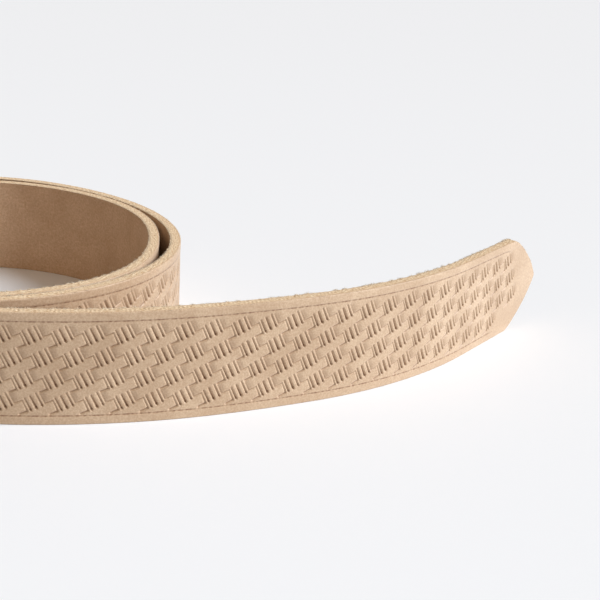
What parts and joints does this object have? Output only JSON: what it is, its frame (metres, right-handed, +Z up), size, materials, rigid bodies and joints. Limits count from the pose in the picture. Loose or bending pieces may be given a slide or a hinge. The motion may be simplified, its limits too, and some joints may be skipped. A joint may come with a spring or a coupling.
{
  "type": "leather belt strap",
  "caption": "Coiled leather belt strap, standing on its edge, its grain side stamped with a slanted basketweave, with a rounded free tail.",
  "frame": {"origin": "middle of the strap's box in plan, on the surface that its lower edge stands on", "axes": "+X from the coil towards the tip of the tail, +Y away from the side where the tail leaves the coil, +Z up across the strap's width"},
  "size_m": [0.296, 0.1548, 0.0381],
  "materials": {
    "veg_tan_leather": "undyed, matt, stamped on the grain side and rough on the flesh side"
  },
  "bodies": {
    "coil": {"inner_turn_start": "veg_tan_leather", "inner_turn_front_right": "veg_tan_leather", "inner_turn_right": "veg_tan_leather", "inner_turn_back_right": "veg_tan_leather", "inner_turn_back": "veg_tan_leather", "inner_turn_back_left": "veg_tan_leather", "inner_turn_left": "veg_tan_leather", "inner_turn_front_left": "veg_tan_leather", "inner_turn_front": "veg_tan_leather", "outer_turn_front_right": "veg_tan_leather", "outer_turn_right": "veg_tan_leather", "outer_turn_back_right": "veg_tan_leather", "outer_turn_back": "veg_tan_leather", "outer_turn_back_left": "veg_tan_leather", "outer_turn_left": "veg_tan_leather", "outer_turn_front_left": "veg_tan_leather", "outer_turn_front": "veg_tan_leather"},
    "inner_end_root": {"inner_end_root": "veg_tan_leather"},
    "inner_end": {"inner_end": "veg_tan_leather"},
    "tail_stretch_1": {"tail_stretch_1": "veg_tan_leather"},
    "tail_stretch_2": {"tail_stretch_2": "veg_tan_leather"},
    "tail_stretch_3": {"tail_stretch_3": "veg_tan_leather"},
    "tail_stretch_4": {"tail_stretch_4": "veg_tan_leather"},
    "tail_stretch_5": {"tail_stretch_5": "veg_tan_leather"},
    "tail_tip": {"tail_tip": "veg_tan_leather"}
  },
  "joints": [
    {"name": "inner_flex_1", "type": "hinge", "parent": "coil", "child": "inner_end_root", "pos_m": [-0.0949, -0.06142, 0.01905], "axis": [0, 0, -1], "range_deg": [0, 20], "stiffness_Nm_per_rad": 0.11},
    {"name": "inner_flex_2", "type": "hinge", "parent": "inner_end_root", "child": "inner_end", "pos_m": [-0.12987, -0.02579, 0.01905], "axis": [0, 0, -1], "range_deg": [0, 20], "stiffness_Nm_per_rad": 0.11},
    {"name": "tail_flex_1", "type": "hinge", "parent": "coil", "child": "tail_stretch_1", "pos_m": [-0.06231, -0.07542, 0.01905], "axis": [0, 0, 1], "range_deg": [-25, 6], "stiffness_Nm_per_rad": 0.13},
    {"name": "tail_flex_2", "type": "hinge", "parent": "tail_stretch_1", "child": "tail_stretch_2", "pos_m": [-0.02047, -0.07269, 0.01905], "axis": [0, 0, 1], "range_deg": [-28, 12], "stiffness_Nm_per_rad": 0.13},
    {"name": "tail_flex_3", "type": "hinge", "parent": "tail_stretch_2", "child": "tail_stretch_3", "pos_m": [0.02007, -0.06196, 0.01905], "axis": [0, 0, 1], "range_deg": [-28, 18], "stiffness_Nm_per_rad": 0.13},
    {"name": "tail_flex_4", "type": "hinge", "parent": "tail_stretch_3", "child": "tail_stretch_4", "pos_m": [0.05829, -0.04461, 0.01905], "axis": [0, 0, 1], "range_deg": [-28, 20], "stiffness_Nm_per_rad": 0.13},
    {"name": "tail_flex_5", "type": "hinge", "parent": "tail_stretch_4", "child": "tail_stretch_5", "pos_m": [0.09273, -0.02078, 0.01905], "axis": [0, 0, 1], "range_deg": [-28, 20], "stiffness_Nm_per_rad": 0.13},
    {"name": "tail_flex_6", "type": "hinge", "parent": "tail_stretch_5", "child": "tail_tip", "pos_m": [0.12, 0.01104, 0.01905], "axis": [0, 0, 1], "range_deg": [-28, 20], "stiffness_Nm_per_rad": 0.13}
  ]
}
